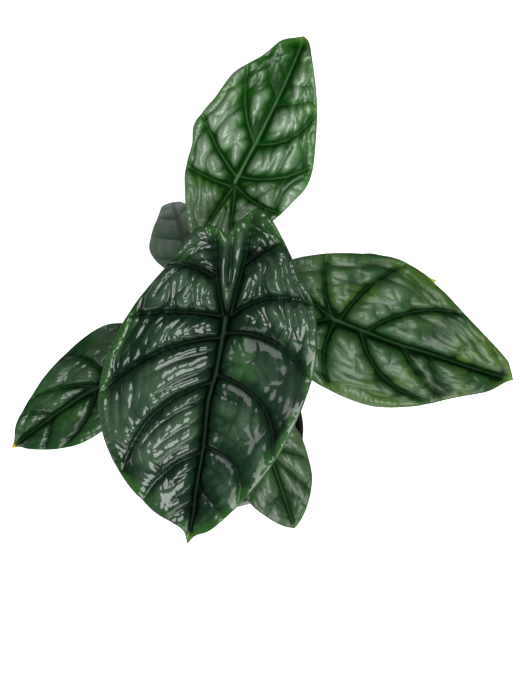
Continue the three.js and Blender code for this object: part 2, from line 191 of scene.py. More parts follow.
class Value:
    """A number, colour or shape that flows from one node to others."""

    def __init__(self, nodes, socket):
        self.nodes = nodes
        self.socket = socket

    def math(self, operation, *others):
        return self.nodes.node("ShaderNodeMath", {"operation": operation}, dict(enumerate((self, *others))))

    def __add__(self, other):
        return self.math("ADD", other)

    def __sub__(self, other):
        return self.math("SUBTRACT", other)

    def __rsub__(self, other):
        return self.nodes.node("ShaderNodeMath", {"operation": "SUBTRACT"}, {0: other, 1: self})

    def __mul__(self, other):
        return self.math("MULTIPLY", other)

    def __pow__(self, other):
        return self.math("POWER", other)

    __radd__ = __add__
    __rmul__ = __mul__

    def between(self, low, high):
        """0 below low, 1 above high, smooth in between."""
        sockets = {"Value": self, "From Min": low, "From Max": high}
        return self.nodes.node("ShaderNodeMapRange", {"interpolation_type": "SMOOTHSTEP"}, sockets)

    def held(self):
        return self.nodes.node("ShaderNodeClamp", {}, {"Value": self})


class Nodes:
    """A node tree, and the one way to add to it."""

    def __init__(self, tree):
        self.tree = tree

    def node(self, kind, settings, sockets, output=0):
        made = self.tree.nodes.new(kind)
        for name, value in settings.items():
            setattr(made, name, value)
        for name, value in sockets.items():
            if isinstance(value, Value):
                self.tree.links.new(value.socket, made.inputs[name])
            else:
                made.inputs[name].default_value = value
        return Value(self, made.outputs[output]) if len(made.outputs) else None


class Finish(Nodes):
    """A procedural material."""

    def __init__(self, name):
        self.material = bpy.data.materials.new(name)
        self.material.use_nodes = True
        super().__init__(self.material.node_tree)
        self.tree.nodes.clear()
        self.place = self.node("ShaderNodeTexCoord", {}, {}, "Object")

    def stored(self, name):
        return self.node("ShaderNodeAttribute", {"attribute_name": name}, {}, "Fac")

    def clouds(self, size, detail=3.0, rough=0.5, place=None):
        """Noise from 0 to 1 whose features are about size metres across."""
        sockets = {"Vector": place or self.place, "Scale": 1 / size, "Detail": detail, "Roughness": rough}
        return self.node("ShaderNodeTexNoise", {}, sockets, "Fac")

    def cells(self, size, feature="DISTANCE_TO_EDGE", place=None):
        """How far each point is from its cell's edge, or with F1 from its middle."""
        sockets = {"Vector": place or self.place, "Scale": 1 / size}
        return self.node("ShaderNodeTexVoronoi", {"feature": feature}, sockets, "Distance")

    def warped(self, size, amount):
        """Object coordinates, bent by a noise of the given size and amount, in metres."""
        sockets = {"Vector": self.place, "Scale": 1 / size, "Detail": 2.0}
        swirl = self.node("ShaderNodeTexNoise", {}, sockets, "Color")
        sockets = {0: swirl, 1: (amount, amount, amount), 2: self.place}
        return self.node("ShaderNodeVectorMath", {"operation": "MULTIPLY_ADD"}, sockets)

    def stretched(self, scale, turn=(0, 0, 0)):
        return self.node("ShaderNodeMapping", {}, {"Vector": self.place, "Scale": scale, "Rotation": turn})

    def mix(self, factor, low, high):
        """The colour low at 0 and high at 1."""
        low, high = ((*c, 1) if isinstance(c, tuple) else c for c in (low, high))
        return self.node("ShaderNodeMix", {"data_type": "RGBA"}, {0: factor, 6: low, 7: high}, 2)

    def shaded(self, factor, colour):
        """A colour times a number."""
        colour = (*colour, 1) if isinstance(colour, tuple) else colour
        settings = {"data_type": "RGBA", "blend_type": "MULTIPLY"}
        grey = self.node("ShaderNodeCombineColor", {}, {"Red": factor, "Green": factor, "Blue": factor})
        return self.node("ShaderNodeMix", settings, {0: 1.0, 6: colour, 7: grey}, 2)

    def bump(self, height, distance, strength=1.0):
        sockets = {"Height": height, "Distance": distance, "Strength": strength}
        return self.node("ShaderNodeBump", {}, sockets)

    def surface(self, **sockets):
        named = {name.replace("_", " "): value for name, value in sockets.items()}
        shader = self.node("ShaderNodeBsdfPrincipled", {}, named)
        self.node("ShaderNodeOutputMaterial", {}, {"Surface": shader})
        return self.material


class Recipe(Nodes):
    """A Geometry Nodes tree with named inputs, which grows a plain mesh from a starting one."""

    KINDS = {float: "NodeSocketFloat", int: "NodeSocketInt", bpy.types.Material: "NodeSocketMaterial"}

    def __init__(self, name, **inputs):
        super().__init__(bpy.data.node_groups.new(name, "GeometryNodeTree"))
        self.inputs = inputs
        add = self.tree.interface.new_socket
        add("Start", in_out="INPUT", socket_type="NodeSocketGeometry")
        add("Grown", in_out="OUTPUT", socket_type="NodeSocketGeometry")
        self.sockets = {}
        for label, value in inputs.items():
            self.sockets[label] = add(label, in_out="INPUT", socket_type=self.KINDS[type(value)]).identifier
        self.entry = self.tree.nodes.new("NodeGroupInput")

    def given(self, name):
        return Value(self, self.entry.outputs[name])

    def keep(self, shape, domain, name, value):
        """The shape with a number stored on each of its points or instances."""
        settings = {"data_type": "FLOAT", "domain": domain}
        sockets = {"Geometry": shape, "Name": name, "Value": value}
        return self.node("GeometryNodeStoreNamedAttribute", settings, sockets)

    def grows(self, shape):
        """Makes the shape what the recipe gives."""
        real = self.node("GeometryNodeRealizeInstances", {}, {"Geometry": shape})
        sockets = {"Geometry": real, "Material": self.given("finish")}
        self.node("NodeGroupOutput", {}, {"Grown": self.node("GeometryNodeSetMaterial", {}, sockets)})

    def grow(self, name, mesh, **values):
        made = bpy.data.objects.new(name, mesh)
        bpy.context.scene.collection.objects.link(made)
        modifier = made.modifiers.new("growth", "NODES")
        modifier.node_group = self.tree
        for label, value in {**self.inputs, **values}.items():
            modifier[self.sockets[label]] = value
        bake(made)
        made.data.shade_smooth()
        return made


def bake(made):
    """Turns what an object's modifiers give into its own mesh."""
    evaluated = made.evaluated_get(bpy.context.evaluated_depsgraph_get())
    mesh = bpy.data.meshes.new_from_object(evaluated)
    made.modifiers.clear()
    made.data = mesh


def store(mesh, name, values):
    """Keeps one number for each point of a mesh, for its finish to read."""
    kept = mesh.attributes.new(name, "FLOAT", "POINT")
    kept.data.foreach_set("value", np.asarray(values, np.float32))


def piece(name, mesh, finish):
    """A new object at the origin whose faces all have one finish."""
    made = bpy.data.objects.new(name, mesh)
    bpy.context.scene.collection.objects.link(made)
    mesh.materials.clear()
    mesh.materials.append(finish)
    return made


def stands_for(made, slot, *nodes):
    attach(made, "root")
    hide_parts(*nodes)


def leaf_finish(name, painted_shade, deep, fresh, painted_sheen, vein, rim, tip, wax, satin,
                freshness=0.0, greener_margin=0.11, depth=0.6, crest=0.6, skin=0.15):
    """A blade: painted black shade in the hollows, green flanks, painted sheen on the tops, fine veins, a
    thin rim, and matt and pale below.

    wax and satin are the strength and the blur of its shine, skin the shine of what is under the wax.
    freshness and greener_margin spread the fresh green. Painted shade darkens the hollows below the height
    depth, the midrib's trough, the stalk's hub and the veinlets' creases; painted sheen lightens the tops
    above the height crest.
    """
    f = Finish(name)
    puff = f.stored("puff")
    dome = f.stored("dome")
    line = f.stored("vein")
    fine_line = f.stored("veinlet")
    spine_shade = f.stored("spine_shade")
    inward = f.stored("inward")
    below = f.stored("below")
    gloss = 1 - (1 - f.stored("calm")) * 1.7 * inward.between(0.15, 0.6)
    drip = f.stored("tip").between(0.2, 0.9)
    crease_place = f.warped(0.006, 0.004)
    creases = f.cells(0.0034, place=crease_place)
    fine_creases = f.cells(0.0014, place=crease_place)
    mottle = f.clouds(0.005, 4.0, 0.6)
    height = dome * 0.6 + puff * 0.4 + (mottle - 0.5) * 0.2
    outer = 1 - inward.between(0.1, 1.0)
    patches = (f.clouds(0.035, 3.0, 0.55) + outer * greener_margin + freshness).between(0.48, 0.72)
    upper = f.mix(patches, deep, fresh)
    # Painted sheen: a paler grey-green on the high tops of the quilting.
    upper = f.mix(height.between(crest, crest + 0.45) * (1 - patches * 0.55), upper, painted_sheen)
    upper = f.shaded(mottle * 0.5 + 0.75, upper)
    # Painted shade: near-black in the low parts, along the midrib and over the stalk, fading at the margin.
    shade_mask = (height.between(depth, depth - 0.38) + spine_shade * 0.85).held() * inward.between(0.05, 0.35)
    upper = f.mix(shade_mask, upper, painted_shade)
    # Painted shade in the creases along the veinlets.
    upper = f.mix(fine_line * 0.45, upper, painted_shade)
    upper = f.mix(line, upper, vein)
    upper = f.mix((1 - inward.between(0.0, 0.07)) * 0.4, upper, rim)
    upper = f.mix(drip, upper, tip)
    lower = f.mix(mottle, (0.075, 0.125, 0.055), (0.115, 0.175, 0.08))
    lower = f.mix((line + fine_line * 0.45).held(), lower, (0.2, 0.27, 0.14))
    lower = f.mix(drip, lower, tip)
    edge = 1 - inward.between(0.0, 0.15)
    relief = (1 - creases.between(0.0, 0.3)) * -0.3 + (1 - fine_creases.between(0.0, 0.4)) * -0.12
    relief = relief + f.clouds(0.0016, 3.0, 0.6) * 0.25
    return f.surface(
        Base_Color=f.mix(below, upper, lower),
        Roughness=mottle * 0.14 + 0.45,
        Specular_IOR_Level=skin,
        Coat_Weight=(1 - below) * (1 - shade_mask) * (1 - edge) * gloss * wax,
        Coat_Roughness=satin,
        Coat_IOR=1.7,
        Normal=f.bump(relief, 0.0005, 0.55),
    )


# Blades.


def smooth_line(points, steps):
    """Points along the smooth curve through the given ones, steps to each span."""
    p = np.array([points[0], *points, points[-1]], float)
    t = np.linspace(0, 1, steps, endpoint=False)[:, None]
    spans = []
    for a, b, c, d in zip(p, p[1:], p[2:], p[3:]):
        spans.append(b + 0.5 * t * (c - a + t * (2 * a - 5 * b + 4 * c - d + t * (3 * (b - c) + d - a))))
    return np.vstack([*spans, p[-1:]])


def blade_turn(leaf):
    """How a blade is turned from flat on the ground with its point along +Y."""
    turns = (-leaf["pitch"], leaf["roll"], leaf["heading"] - 90)
    return Euler([math.radians(a) for a in turns], "YXZ").to_matrix()


class Blade:
    """A leaf blade on a fine grid in its own plane, in millimetres."""

    STEPS = 12  # to each span of the margin
    VEIN_POINTS = 25

    def __init__(self, leaf, seed):
        self.leaf = leaf
        self.random = np.random.RandomState(seed)
        self.right = smooth_line(leaf["right"], self.STEPS)
        self.left = smooth_line(leaf["left"], self.STEPS)
        self.outline = np.vstack([self.right, self.left[-2:0:-1]])
        self.length = leaf["right"][0][1]
        self.width = max(x for x, y in leaf["right"])
        self.back = -min(y for x, y in leaf["left"])
        x, y = self.outline.T
        area = 0.5 * abs(np.sum(x * np.roll(y, 1) - y * np.roll(x, 1)))
        self.cell = max(FINEST_CELL, math.sqrt(area / GRID_POINTS * 2))
        low = self.outline.min(0) - 3 * self.cell
        high = self.outline.max(0) + 3 * self.cell
        columns, rows = np.ceil((high - low) / self.cell).astype(int) + 1
        self.low = low
        across = low[0] + self.cell * np.arange(columns)
        self.x, self.y = np.meshgrid(across, low[1] + self.cell * np.arange(rows))
        self.midrib = smooth_line(leaf["midrib"], 8)
        self.cut_to_margin()
        self.lay_veins()
        self.puff_up()

    def blocks(self, line, reach):
        """For each piece of a line: its two ends, and the block of the grid that lies within reach of it."""
        for a, b in zip(line, line[1:]):
            low = np.floor((np.minimum(a, b) - reach - self.low) / self.cell).astype(int)
            high = np.ceil((np.maximum(a, b) + reach - self.low) / self.cell).astype(int) + 1
            rows = slice(max(low[1], 0), max(high[1], 0))
            columns = slice(max(low[0], 0), max(high[0], 0))
            yield a, b, (rows, columns)

    def nearest(self, a, b, block):
        """How far a block's grid points are from the line between a and b, and their nearest points."""
        x, y = self.x[block], self.y[block]
        d = b - a
        t = np.clip(((x - a[0]) * d[0] + (y - a[1]) * d[1]) / max(d @ d, 1e-9), 0, 1)
        nx, ny = a[0] + t * d[0], a[1] + t * d[1]
        return np.hypot(x - nx, y - ny), nx, ny

    def cut_to_margin(self):
        """Marks the grid points inside the margin, and pulls those next to it onto it."""
        outline = np.vstack([self.outline, self.outline[:1]])
        inside = np.zeros(self.x.shape, bool)
        for a, b in zip(outline, outline[1:]):
            crosses = (a[1] > self.y) != (b[1] > self.y)
            if a[1] != b[1]:
                inside ^= crosses & (self.x < a[0] + (self.y - a[1]) * (b[0] - a[0]) / (b[1] - a[1]))
        distance = np.full(self.x.shape, INWARD_REACH)
        near_x, near_y = self.x.copy(), self.y.copy()
        for a, b, block in self.blocks(outline, INWARD_REACH):
            d, nx, ny = self.nearest(a, b, block)
            closer = d < distance[block]
            distance[block][closer] = d[closer]
            near_x[block][closer] = nx[closer]
            near_y[block][closer] = ny[closer]
        rim = distance < 0.5 * self.cell
        self.x[rim] = near_x[rim]
        self.y[rim] = near_y[rim]
        self.rim = rim
        self.kept = inside | rim
        self.inward = np.where(rim, 0, distance)

    def vein(self, start, place, sag, side):
        """A main vein from its start to just inside the margin, sagging towards the leaf's base."""
        margin = self.right if side > 0 else self.left
        at = place * self.STEPS
        k = int(at)
        end = margin[k] + (at - k) * (margin[min(k + 1, len(margin) - 1)] - margin[k])
        start = np.array(start, float)
        end = start + VEIN_REACH * (end - start)
        along = end - start
        across = np.array([along[1], -along[0]])
        across *= -np.sign(across[1]) if across[1] else 1
        middle = (start + end) / 2 + sag * across
        t = np.linspace(0, 1, self.VEIN_POINTS)[:, None]
        return (1 - t) ** 2 * start + 2 * t * (1 - t) * middle + t * t * end

    def lay_veins(self):
        """Lines for the main veins, and for the folds, rungs and cells between them."""
        self.main = [(self.midrib, 1.0)]
        self.minor = []
        hindmost = []
        for side, name in ((1, "right"), (-1, "left")):
            veins = [self.vein(v[:2], v[2], v[3], side) for v in self.leaf[name + "_veins"]]
            for v in veins:
                strength = 1.15 - self.leaf["fading"] * v[0, 1] / self.length
                self.main.append((v, min(max(strength, 0.15), 1.0)))
            gaps = self.leaf.get("gaps") or self.leaf[name + "_gaps"]
            for outer, inner, (fold, rung, cell) in zip(veins, veins[1:], gaps):
                self.fold_between(outer, inner, fold)
                self.rungs_between(outer, inner, rung)
                self.cells_between(outer, inner, cell)
            towards_point = np.linspace(veins[0][0], (0, self.length), len(veins[0]))
            self.rungs_between(towards_point, veins[0], gaps[0][1])
            self.comb_margin(self.right if side > 0 else self.left, side)
            hindmost.append(veins[-1])
        # A line midway between the two hindmost veins, down to where the lobes part.
        between_lobes = (hindmost[0] + hindmost[1])[8:22] / 2
        self.minor.append((between_lobes, np.full(len(between_lobes), 0.8)))

    def fold_between(self, outer, inner, weight):
        """Lines that leave the midrib between two main veins and run along with them."""
        gap = np.hypot(*(outer[0] - inner[0]))
        count = int(round(gap / FOLD_SPACING)) - 1
        for k in range(count if weight else 0):
            f = (k + 1 + self.random.uniform(-0.2, 0.2)) / (count + 1)
            reach = int(len(outer) * self.random.uniform(0.5, 0.9))
            line = (inner + f * (outer - inner))[:reach]
            strength = weight * np.linspace(1.0, 0.25, reach) * self.random.uniform(0.2, 1.0)
            self.minor.append((line, strength))

    def across(self, outer, inner, t, f):
        """The point a share t along two veins and a share f of the way from the inner to the outer one."""
        k = min(max(t, 0), 0.999) * (len(inner) - 1)
        i = int(k)
        a = inner[i] + (k - i) * (inner[i + 1] - inner[i])
        b = outer[i] + (k - i) * (outer[i + 1] - outer[i])
        return a + f * (b - a)

    def rungs_between(self, outer, inner, weight):
        """Veinlets that stand on the two veins and lean towards the margin, fading before they meet."""
        spans = np.hypot(*np.diff(inner, axis=0).T)
        count = int(spans.sum() / self.leaf["rung"])
        for k in range(2 * count if weight else 0):
            t = (k // 2 + 0.5 + self.random.uniform(-0.3, 0.3)) / count
            foot = k % 2
            a = self.across(outer, inner, t, foot)
            tip = abs(foot - self.random.uniform(0.5, 0.8))
            b = self.across(outer, inner, t + self.random.uniform(0.08, 0.2), tip)
            if np.hypot(*(b - a)) < 0.4 * self.leaf["rung"]:
                continue
            line = self.bowed(a, b, 9, 0.15)
            nearer_margin = 0.3 + 1.2 * min(t, 1)
            strength = nearer_margin * weight * np.linspace(1, 0.2, 9) * self.random.uniform(0.6, 1.0)
            self.minor.append((line, strength))

    def cells_between(self, outer, inner, weight):
        """A zigzag midway between two veins, with branches to both."""
        spans = np.hypot(*np.diff(inner, axis=0).T)
        count = int(spans.sum() / CELL_SPACING)
        if not weight or count < 2:
            return
        middle = []
        for k in range(count):
            t = (k + 0.7 + self.random.uniform(-0.3, 0.3)) / count
            f = 0.5 + self.random.uniform(0.05, 0.2) * (-1) ** k
            middle.append(self.across(outer, inner, t, f))
            foot = self.across(outer, inner, t - self.random.uniform(0.03, 0.14), (k + 1) % 2)
            self.branch(middle[-1], foot, weight)
            if k % 2:
                self.branch(middle[-1], self.across(outer, inner, t - 0.08, k % 2), weight)
        for a, b in zip(middle, middle[1:]):
            self.branch(a, b, 0.8 * weight)

    def branch(self, a, b, weight):
        self.minor.append((self.bowed(a, b, 7, 0.2), np.full(7, weight)))

    def bowed(self, a, b, count, most):
        """Points along a line from a to b that bows to one side by up to a share of its length."""
        u = np.linspace(0, 1, count)[:, None]
        side = np.array([b[1] - a[1], a[0] - b[0]]) * self.random.uniform(-most, most)
        return a + u * (b - a) + 4 * u * (1 - u) * side

    def comb_margin(self, margin, side):
        """Faint short lines that come in from the margin."""
        steps = np.hypot(*np.diff(margin, axis=0).T)
        travelled = np.concatenate([[0], np.cumsum(steps)])
        at = 9.0
        while at < travelled[-1] - 12:
            k = int(np.searchsorted(travelled, at)) - 1
            a = margin[k] + (at - travelled[k]) / steps[k] * (margin[k + 1] - margin[k])
            along = (margin[k + 1] - margin[k]) / steps[k]
            inward = np.array([along[1], -along[0]]) * side
            length = self.random.uniform(5, 12) * min(1, self.width / 50)
            tip = a + length * (inward + 0.35 * along)
            u = np.linspace(0.2, 1, 5)[:, None]
            self.minor.append((a + u * (tip - a), np.linspace(0.14, 0.04, 5) * self.random.uniform(0.2, 1)))
            at += COMB_SPACING * self.random.uniform(0.7, 1.3)

    def puff_up(self):
        """Lets the leaf rise between its veins like a quilt, and keeps the patterns that its finish needs."""
        patterns = [np.zeros(self.x.shape) for _ in range(7)]
        main, minor, self.vein_mark, self.veinlet_mark, self.spine_shade, self.cord, self.ribs = patterns

        def stamp(pattern, block, values):
            pattern[block] = np.maximum(pattern[block], values)

        def bulge(share):
            return np.sqrt(np.clip(1 - share**2, 0, 1))

        size = min(1.0, self.width / 55)
        for k, (line, weight) in enumerate(self.main):
            radius = (SIDE_VEIN_RADIUS if k else MIDRIB_RADIUS) * size
            along = np.linspace(0, 1, len(line) - 1)
            taper = 1 - 0.55 * along if k else 1 - 0.72 * np.sqrt(along)
            for share, (a, b, block) in zip(taper, self.blocks(line, 5.0 if k else 12.0)):
                d, _, _ = self.nearest(a, b, block)
                r = radius * share
                if k == 0:
                    # Painted shade along the midrib, widest at the stalk, kept for the finish.
                    trough = np.exp(-((d / (TROUGH_REACH * size * share)) ** 2)) * share
                    stamp(self.spine_shade, block, trough)
                grip = (weight * share) ** 2 if k else 1
                stamp(main, block, np.exp(-((np.maximum(d - 0.55 * r, 0) / 0.5) ** 2)) * grip)
                tint = 0.4 * weight if k else 0.9
                line_mark = np.clip((0.5 * r + 0.5 - d) / 0.6, 0, 1)
                stamp(self.vein_mark, block, line_mark * (0.2 + 0.8 * share) * tint)
                stamp(self.cord, block, 0.15 * r * bulge(d / r))
                stamp(self.ribs, block, 0.9 * r * bulge(d / (1.1 * r)))
        for line, strength in self.minor:
            for s, (a, b, block) in zip(strength, self.blocks(line, 3.0)):
                d, _, _ = self.nearest(a, b, block)
                stamp(minor, block, s * np.exp(-((d / 0.7) ** 2)))
                stamp(self.veinlet_mark, block, s * np.clip((0.8 - d) / 0.6, 0, 1))
                stamp(self.ribs, block, 0.3 * s * bulge(d))
        rim = np.exp(-((self.inward / 1.2) ** 2))
        main += 0.02 * self.spine_shade
        # Painted shade over the stalk, joined to that along the midrib.
        hub = np.exp(-((np.hypot(self.x, self.y) / (HUB_REACH * size)) ** 2))
        self.spine_shade = np.maximum(self.spine_shade, hub)
        uneven = 1 + 0.35 * self.drift(22) + 0.25 * self.drift(8)
        leaf = self.leaf
        self.dome = self.relax(leaf["dome_reach"], 3.0 * main + 0.06 * minor + 0.05 * rim, uneven)
        self.fold = self.relax(leaf["fold_reach"], 2.0 * main + 3.5 * minor + 0.2 * rim, uneven)

    def relax(self, reach, hold, push):
        """A sheet that rises to push over about reach millimetres, except where it is held down.

        Its heights are shares of the one that 92 in 100 of its points stay under.
        """
        lift = 1 / reach**2
        kept = self.kept.astype(float)
        neighbours = np.zeros_like(kept)
        neighbours[1:-1, 1:-1] = kept[:-2, 1:-1] + kept[2:, 1:-1] + kept[1:-1, :-2] + kept[1:-1, 2:]
        stiffness = neighbours + (lift + hold) * self.cell**2
        push = push * lift * self.cell**2
        sheet = np.zeros(self.x.shape)
        for _ in range(int(3 * (reach / self.cell) ** 2) + 60):
            around = np.zeros_like(sheet)
            around[1:-1, 1:-1] = sheet[:-2, 1:-1] + sheet[2:, 1:-1] + sheet[1:-1, :-2] + sheet[1:-1, 2:]
            sheet = kept * (around + push) / stiffness
        return sheet / np.percentile(sheet[self.kept], 92)

    def drift(self, size):
        """Smooth random numbers from -1 to 1 over the grid, with features of the given size."""
        rows = int(self.x.shape[0] * self.cell / size) + 3
        columns = int(self.x.shape[1] * self.cell / size) + 3
        knots = self.random.uniform(-1, 1, (rows, columns))
        r = np.arange(self.x.shape[0]) * self.cell / size
        c = np.arange(self.x.shape[1]) * self.cell / size
        i, j = r.astype(int)[:, None], c.astype(int)[None, :]
        u, v = (r % 1)[:, None], (c % 1)[None, :]
        u, v = u * u * (3 - 2 * u), v * v * (3 - 2 * v)
        top = knots[i, j] * (1 - v) + knots[i, j + 1] * v
        bottom = knots[i + 1, j] * (1 - v) + knots[i + 1, j + 1] * v
        return top * (1 - u) + bottom * u

    def calm(self):
        """1, less on the left half in front of the stalk where the leaf's quilting is calmer."""
        return 1 - self.leaf["left_calm"] * np.clip(-self.x / 10, 0, 1) * np.clip(self.y / 12, 0, 1)

    def lobes(self):
        """1 in front of the stalk, more on the lobes, whose folds are deeper."""
        return 1 + LOBE_FOLDS * np.clip(-self.y / self.back, 0, 0.5)

    def heights(self):
        """The upper and the lower face above the blade's plane."""
        leaf = self.leaf
        side = np.abs(self.x) / self.width
        along = np.where(self.y > 0, self.y / self.length, self.y / self.back)
        drop = np.where(self.y > 0, leaf["tip_drop"], leaf["lobe_drop"]) * along**2
        calm = self.calm()
        curl = leaf["curl"] * (2 * calm - 1) * side**CURL_POWER
        bend = leaf["valley"] * (1 - np.exp(-side / VALLEY_SHARE)) - curl - drop
        fade = np.clip(self.inward / 3.0, 0, 1)
        relief = leaf["relief"] * calm * self.dome
        relief += leaf["fold"] * (2 * calm - 1) * self.lobes() * self.fold
        relief += 0.05 * fade * self.drift(4.5)
        point = np.clip(np.hypot(self.x, self.y - self.length) / (FLAT_POINT * self.length), 0, 1)
        relief *= point * point * (3 - 2 * point)
        closing = np.sqrt(1 - (1 - np.clip(self.inward / RIM_ROUNDING, 0, 1)) ** 2)
        upper = bend + relief + self.cord * fade + 0.5 * BLADE_TISSUE * closing
        lower = bend + relief - self.ribs * fade - 0.5 * BLADE_TISSUE * closing
        return upper, lower

    def faces(self, number):
        """Squares inside the margin, and triangles where a square loses one corner to it."""
        corners = [number[:-1, :-1], number[:-1, 1:], number[1:, 1:], number[1:, :-1]]
        corners = np.stack(corners, -1).reshape(-1, 4)
        whole = (corners >= 0).sum(1)
        squares = corners[whole == 4]
        triangles = [c[c >= 0] for c in corners[whole == 3]]
        return squares.tolist(), [t.tolist() for t in triangles]

    def build(self, name, finish):
        """The blade as a closed mesh whose two faces meet at the margin, with what its finish reads."""
        upper, lower = self.heights()
        kept, rim = self.kept, self.rim
        number = np.full(kept.shape, -1)
        number[kept] = np.arange(kept.sum())
        under = number.copy()
        inner = kept & ~rim
        under[inner] = kept.sum() + np.arange(inner.sum())
        squares, triangles = self.faces(number)
        renumber = np.full(kept.sum(), -1)
        renumber[number[kept]] = under[kept]
        on_margin = set(number[rim])
        polygons = []
        for corners in squares + triangles:
            if all(c in on_margin for c in corners):
                continue
            polygons.append(corners)
            polygons.append([int(renumber[c]) for c in reversed(corners)])
        flat = np.stack([self.x, self.y], -1)
        top = np.concatenate([flat[kept], np.where(rim, (upper + lower) / 2, upper)[kept][:, None]], 1)
        bottom = np.concatenate([flat[inner], lower[inner][:, None]], 1)
        turn = np.array(blade_turn(self.leaf))
        points = (np.vstack([top, bottom]) @ turn.T + np.array(self.leaf["at"], float)) * MM
        mesh = bpy.data.meshes.new(name)
        mesh.from_pydata(points.tolist(), [], polygons)
        from_tip = np.hypot(self.x, self.y - self.length)
        marks = {
            "puff": self.fold,
            "dome": self.dome * self.lobes(),
            "spine_shade": self.spine_shade,
            "vein": self.vein_mark,
            "veinlet": self.veinlet_mark,
            "inward": np.clip(self.inward / INWARD_REACH, 0, 1),
            "tip": np.clip(1 - from_tip / (self.leaf["drip"] * self.length), 0, 1),
            "calm": self.calm(),
        }
        for mark, values in marks.items():
            store(mesh, mark, np.concatenate([values[kept], values[inner]]))
        store(mesh, "below", np.repeat([0.0, 1.0], [kept.sum(), inner.sum()]))
        mesh.shade_smooth()
        return piece(name, mesh, finish)


DRIP_OLIVE = (0.05, 0.085, 0.01)
# Each leaf's first colour is the painted shade of its hollows, and its fourth is the painted sheen on its
# tops.
LEAF_FINISHES = {
    "top": leaf_finish(
        "glossy black green leaf",
        painted_shade=(0.0005, 0.002, 0.001), deep=(0.003, 0.013, 0.005), fresh=(0.013, 0.049, 0.009),
        painted_sheen=(0.023, 0.046, 0.024), vein=(0.010, 0.022, 0.012), rim=(0.03, 0.09, 0.02),
        tip=(0.05, 0.10, 0.010), wax=0.62, satin=0.1, freshness=-0.085, greener_margin=0.24, depth=0.56,
        skin=0.04),
    "back": leaf_finish(
        "bright green leaf",
        painted_shade=(0.002, 0.024, 0.001), deep=(0.010, 0.060, 0.006), fresh=(0.022, 0.085, 0.008),
        painted_sheen=(0.108, 0.165, 0.10), vein=(0.05, 0.13, 0.045), rim=(0.012, 0.04, 0.01), tip=(0.04, 0.10, 0.01),
        wax=0.95, satin=0.33, depth=0.7, crest=0.55),
    "right": leaf_finish(
        "olive green leaf",
        painted_shade=(0.001, 0.007, 0.001), deep=(0.008, 0.036, 0.008), fresh=(0.026, 0.064, 0.006),
        painted_sheen=(0.033, 0.067, 0.026), vein=(0.008, 0.035, 0.008), rim=(0.012, 0.03, 0.01),
        tip=(0.05, 0.11, 0.01), wax=0.54, satin=0.36, freshness=0.03, depth=0.66, crest=0.66, skin=0.08),
    "left": leaf_finish(
        "dark green leaf",
        painted_shade=(0.001, 0.006, 0.001), deep=(0.005, 0.026, 0.006), fresh=(0.010, 0.043, 0.008),
        painted_sheen=(0.024, 0.049, 0.024), vein=(0.008, 0.024, 0.008), rim=(0.01, 0.03, 0.01),
        tip=(0.55, 0.38, 0.012), wax=0.52, satin=0.2, freshness=0.02, skin=0.08),
    "front": leaf_finish(
        "grey green leaf",
        painted_shade=(0.003, 0.015, 0.003), deep=(0.011, 0.034, 0.010), fresh=(0.022, 0.055, 0.014),
        painted_sheen=(0.045, 0.075, 0.038), vein=(0.012, 0.05, 0.012), rim=(0.02, 0.04, 0.01), tip=DRIP_OLIVE,
        wax=0.5, satin=0.35, freshness=0.05),
    "back_left": leaf_finish(
        "dull green leaf",
        painted_shade=(0.029, 0.054, 0.033), deep=(0.039, 0.073, 0.045), fresh=(0.042, 0.080, 0.047),
        painted_sheen=(0.058, 0.10, 0.063), vein=(0.035, 0.065, 0.04), rim=(0.03, 0.05, 0.03), tip=DRIP_OLIVE,
        wax=0.15, satin=0.5),
    "right_lower": leaf_finish(
        "shaded green leaf",
        painted_shade=(0.006, 0.03, 0.006), deep=(0.02, 0.06, 0.012), fresh=(0.05, 0.11, 0.02),
        painted_sheen=(0.08, 0.14, 0.05), vein=(0.05, 0.09, 0.03), rim=(0.06, 0.1, 0.03), tip=(0.5, 0.66, 0.08),
        wax=0.3, satin=0.35, freshness=0.05),
}

for seed, (name, leaf) in enumerate(LEAVES.items()):
    blade = Blade(leaf, seed + 11).build("quilted_blade_" + name, LEAF_FINISHES[name])
    stands_for(blade, "leaf_dark" if name == "top" else "leaf_green", "blade_" + name)

# Leaf stalks.

STEM_X = 0
STEM_Y = 8
STALK_POINTS = 40
STALK_TAPER = 0.62  # the stalk's radius at the blade as a share of that at its foot
STALK_LIFT = 1.1  # how far the fine stalk's end reaches past the solid one's, into the blade's ribs


def stalk_line(leaf):
    """The stalk's middle line, in millimetres, from the stem to the blade."""
    out_of_blade = blade_turn(leaf) @ UP
    top = Vector(leaf["at"]) - out_of_blade * (BLADE_THICKNESS / 2 + STALK_CLEARANCE)
    facing, out, height = leaf["base"]
    outward = Vector((math.cos(math.radians(facing)), math.sin(math.radians(facing)), 0))
    foot = Vector((STEM_X, STEM_Y, height)) + outward * out
    reach = (top - foot).length
    rise = (UP + 0.3 * outward).normalized()
    a, b, c, d = foot, foot + rise * 0.45 * reach, top - out_of_blade * 0.25 * reach, top
    line = []
    for t in np.linspace(0, 1, STALK_POINTS):
        line.append((1 - t) ** 3 * a + 3 * t * (1 - t) ** 2 * b + 3 * t * t * (1 - t) * c + t**3 * d)
    return [*line, d + out_of_blade * STALK_LIFT]


